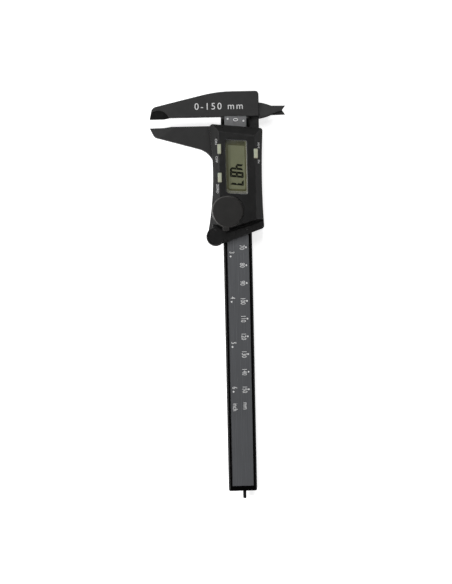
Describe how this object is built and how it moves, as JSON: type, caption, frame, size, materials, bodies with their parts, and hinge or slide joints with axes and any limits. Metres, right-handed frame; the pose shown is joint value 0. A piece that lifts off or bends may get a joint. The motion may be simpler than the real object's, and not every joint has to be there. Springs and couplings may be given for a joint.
{
  "type": "digital caliper",
  "caption": "Digital caliper with a sliding display housing on a graduated beam, outer and inside jaws, a depth rod, push buttons and a round battery cover.",
  "frame": {"origin": "on the flat rest plane behind the head, in line with the fixed jaw's measuring face and the middle of the beam", "axes": "+X is the measuring direction from the fixed jaw to the tail, the outer jaws point to -Y, +Z leaves the display face"},
  "size_m": [0.229, 0.0753, 0.0135],
  "materials": {
    "jaw_plastic": "fibre-filled, satin, faintly mottled",
    "frame_plastic": "fibre-filled, satin",
    "housing_plastic": "finely spark-eroded, satin",
    "cover_plastic": "finely spark-eroded, satin",
    "rod_plastic": "smooth, black",
    "scale_film": "satin printed film",
    "circuit_board": "green solder resist",
    "screw_steel": "blackened steel",
    "spring_brass": "rolled strip",
    "clear_window": "clear acrylic",
    "display_glass": "grey-green liquid crystal display",
    "holder_plastic": "white moulding",
    "contact_rubber": "layered conductive rubber",
    "chip_resin": "moulded resin",
    "plated_parts": "tin plated",
    "cell_steel": "nickel plated steel",
    "button_plastic": "cream, satin"
  },
  "bodies": {
    "beam": {"beam": "jaw_plastic", "scale_board": "circuit_board", "scale_label": "scale_film", "end_stop": "frame_plastic", "end_stop_screws": "screw_steel"},
    "slider": {"slider_frame": "frame_plastic", "gib_strip": "spring_brass", "gib_screws": "screw_steel", "back_plate": "frame_plastic", "back_plate_screws": "screw_steel", "depth_rod": "rod_plastic", "rod_retainer": "frame_plastic", "rod_retainer_screw": "screw_steel", "front_housing": "housing_plastic", "housing_screws": "screw_steel", "display_window": "clear_window", "lcd_glass": "display_glass", "display_holder": "holder_plastic", "zebra_strips": "contact_rubber", "main_board": "circuit_board", "board_screws": "screw_steel", "processor_chip": "chip_resin", "board_components": "plated_parts", "switch_domes": "plated_parts", "battery_cell": "cell_steel", "battery_negative_contact": "spring_brass", "battery_positive_contact": "spring_brass"},
    "battery_cover": {"battery_cover": "cover_plastic"},
    "on_off_button": {"on_off_button": "button_plastic"},
    "zero_button": {"zero_button": "button_plastic"},
    "unit_button": {"unit_button": "button_plastic"}
  },
  "joints": [
    {"name": "slider_slide", "type": "slide", "parent": "beam", "child": "slider", "axis": [1, 0, 0], "range_m": [-0.00487, 0.14513]},
    {"name": "on_off_button_press", "type": "slide", "parent": "slider", "child": "on_off_button", "axis": [0, 0, -1], "range_m": [0, 0.0004], "stiffness_N_per_m": 400},
    {"name": "zero_button_press", "type": "slide", "parent": "slider", "child": "zero_button", "axis": [0, 0, -1], "range_m": [0, 0.0004], "stiffness_N_per_m": 400},
    {"name": "unit_button_press", "type": "slide", "parent": "slider", "child": "unit_button", "axis": [0, 0, -1], "range_m": [0, 0.0004], "stiffness_N_per_m": 400},
    {"name": "battery_cover_lift", "type": "slide", "parent": "slider", "child": "battery_cover", "axis": [0, 0, 1], "range_m": [0, 0.012]}
  ]
}
